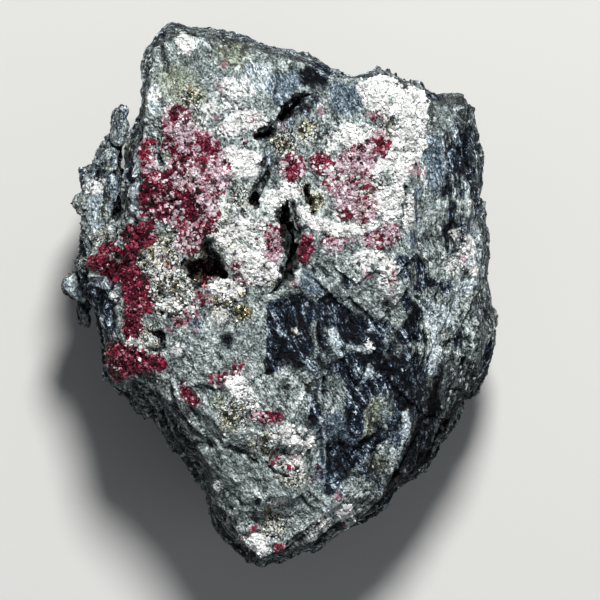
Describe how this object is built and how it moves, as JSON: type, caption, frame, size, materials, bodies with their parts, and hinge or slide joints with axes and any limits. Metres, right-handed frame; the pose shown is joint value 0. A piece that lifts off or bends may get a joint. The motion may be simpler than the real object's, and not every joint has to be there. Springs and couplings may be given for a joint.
{
  "type": "mineral specimen",
  "caption": "Broken block of grey-green schist and blue-black slate, its front face veined with deep red cinnabar crystals, white calcite and specks of brassy pyrite",
  "frame": {"origin": "centre of the bounding box in plan, at the flat back that the specimen rests on", "axes": "+Z points out of the mineral face and up from the flat back, +Y runs along the specimen's length towards its broad end, +X completes the frame"},
  "size_m": [0.0649, 0.0807, 0.0432],
  "materials": {
    "host_rock": "fine-grained schist and slate, dull on the broken faces and faintly silky along the sheets",
    "cinnabar": "crust of small deep red crystals with an adamantine sparkle",
    "calcite": "sugary white crystals, translucent at their edges",
    "pyrite": "small metallic cubes, slightly tarnished"
  },
  "bodies": {
    "root": {"calcite_centre_lump": "calcite", "calcite_centre_ridge": "calcite", "calcite_curved_seam": "calcite", "calcite_foot": "calcite", "calcite_left_field": "calcite", "calcite_low_blob": "calcite", "calcite_low_left_lump": "calcite", "calcite_low_patch": "calcite", "calcite_lower_left_strip": "calcite", "calcite_right_edge": "calcite", "calcite_right_low": "calcite", "calcite_right_strip": "calcite", "calcite_tip": "calcite", "calcite_top_spot": "calcite", "calcite_upper_band": "calcite", "calcite_upper_left": "calcite", "calcite_upper_middle": "calcite", "calcite_upper_right": "calcite", "cinnabar_cleft_left": "cinnabar", "cinnabar_cleft_right": "cinnabar", "cinnabar_hollow": "cinnabar", "cinnabar_left_arc": "cinnabar", "cinnabar_low_spots": "cinnabar", "cinnabar_low_streak": "cinnabar", "cinnabar_lower_left": "cinnabar", "cinnabar_pair_left": "cinnabar", "cinnabar_pair_right": "cinnabar", "cinnabar_pink_bloom": "cinnabar", "cinnabar_pink_patch": "cinnabar", "cinnabar_right_spray": "cinnabar", "cinnabar_tip": "cinnabar", "cinnabar_upper_crust": "cinnabar", "host_rock": "host_rock", "pyrite_low_nest": "pyrite", "pyrite_seam_nest": "pyrite"}
  },
  "joints": []
}
